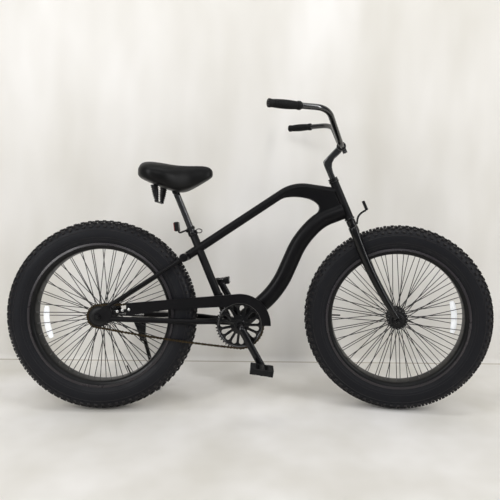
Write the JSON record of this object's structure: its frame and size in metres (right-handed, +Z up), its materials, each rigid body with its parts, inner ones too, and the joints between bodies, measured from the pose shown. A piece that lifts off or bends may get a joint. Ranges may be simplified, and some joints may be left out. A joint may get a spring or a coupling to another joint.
{
  "type": "beach cruiser bicycle",
  "caption": "Black beach cruiser bicycle with fat knobby tyres, swept handlebars, sprung saddle and chain guard, leaning on its side stand.",
  "frame": {"origin": "on the floor under the middle of the whole bike", "axes": "+X forward, +Y to the rider's left, +Z up"},
  "size_m": [1.9372, 0.7524, 1.2035],
  "materials": {
    "frame_paint": "matte black",
    "gloss_paint": "gloss black",
    "rim_paint": "satin black",
    "hub_paint": "satin black",
    "tyre": "matte, knobby",
    "spoke_steel": "dark",
    "plated_steel": "satin",
    "chain_steel": "oiled bronze brown",
    "spring_steel": "satin black",
    "white_reflector": "prismatic",
    "clear_reflector": "black housing",
    "red_reflector": "prismatic",
    "bracket_plastic": "satin",
    "valve_rubber": "matte",
    "grip_rubber": "textured",
    "saddle_vinyl": "grained",
    "pedal_rubber": "matte"
  },
  "bodies": {
    "frame": {"rear_axle": "plated_steel", "head_tube": "frame_paint", "headset_cups": "gloss_paint", "top_tube": "frame_paint", "down_tube": "frame_paint", "head_web": "frame_paint", "seat_tube": "frame_paint", "seat_collar": "gloss_paint", "bottom_bracket": "frame_paint", "stay_yoke": "frame_paint", "chain_stay_left": "frame_paint", "seat_stay_left": "frame_paint", "chain_stay_right": "frame_paint", "seat_stay_right": "frame_paint", "dropout_left": "frame_paint", "dropout_right": "frame_paint", "saddle": "saddle_vinyl", "saddle_spring_left": "spring_steel", "saddle_spring_right": "spring_steel", "saddle_frame": "spring_steel", "seat_post": "gloss_paint", "rear_reflector": "red_reflector", "rear_reflector_bracket": "bracket_plastic", "chain": "chain_steel", "chain_guard": "gloss_paint", "guard_bracket_rear": "gloss_paint", "guard_bracket_front": "gloss_paint", "brake_arm": "plated_steel", "stand_bracket": "frame_paint"},
    "fork": {"front_axle": "plated_steel", "fork_crown": "gloss_paint", "fork_leg_left": "gloss_paint", "fork_leg_right": "gloss_paint", "headset_locknut": "gloss_paint", "stem": "gloss_paint", "handlebar": "gloss_paint", "grip_left": "grip_rubber", "grip_right": "grip_rubber", "front_reflector": "clear_reflector", "front_reflector_bracket": "bracket_plastic"},
    "front_wheel": {"front_tyre": "tyre", "front_rim": "rim_paint", "front_hub": "hub_paint", "front_spokes": "spoke_steel", "front_wheel_reflector": "white_reflector", "front_valve": "valve_rubber"},
    "rear_wheel": {"rear_tyre": "tyre", "rear_rim": "rim_paint", "rear_hub": "hub_paint", "rear_spokes": "spoke_steel", "rear_wheel_reflector": "white_reflector", "rear_valve": "valve_rubber", "rear_sprocket": "chain_steel"},
    "crank": {"crank": "gloss_paint", "chainring": "gloss_paint"},
    "pedal_left": {"pedal_left": "pedal_rubber"},
    "pedal_right": {"pedal_right": "pedal_rubber"},
    "side_stand": {"side_stand": "gloss_paint"}
  },
  "joints": [
    {"name": "steering", "type": "hinge", "parent": "frame", "child": "fork", "pos_m": [0.57514, -0.1016, 0.36922], "axis": [-0.407, 0.0955, 0.9084], "range_deg": [-80, 100]},
    {"name": "front_wheel_spin", "type": "hinge", "parent": "fork", "child": "front_wheel", "pos_m": [0.59313, -0.10422, 0.37755], "axis": [0.1586, 0.9868, -0.0327], "continuous": true},
    {"name": "rear_wheel_spin", "type": "hinge", "parent": "frame", "child": "rear_wheel", "pos_m": [-0.59159, -0.10075, 0.37703], "axis": [0, 0.9945, -0.1045], "continuous": true},
    {"name": "crank_spin", "type": "hinge", "parent": "frame", "child": "crank", "pos_m": [-0.04258, -0.10357, 0.35031], "axis": [0, 0.9945, -0.1045], "continuous": true},
    {"name": "pedal_left_spin", "type": "hinge", "parent": "crank", "child": "pedal_left", "pos_m": [-0.13012, 0.01172, 0.49056], "axis": [0, 0.9945, -0.1045], "continuous": true},
    {"name": "pedal_right_spin", "type": "hinge", "parent": "crank", "child": "pedal_right", "pos_m": [0.04495, -0.21887, 0.21006], "axis": [0, 0.9945, -0.1045], "continuous": true},
    {"name": "stand_fold", "type": "hinge", "parent": "frame", "child": "side_stand", "pos_m": [-0.44856, -0.0286, 0.25988], "axis": [-0.0001, 0.9511, 0.309], "range_deg": [0, 100]}
  ]
}
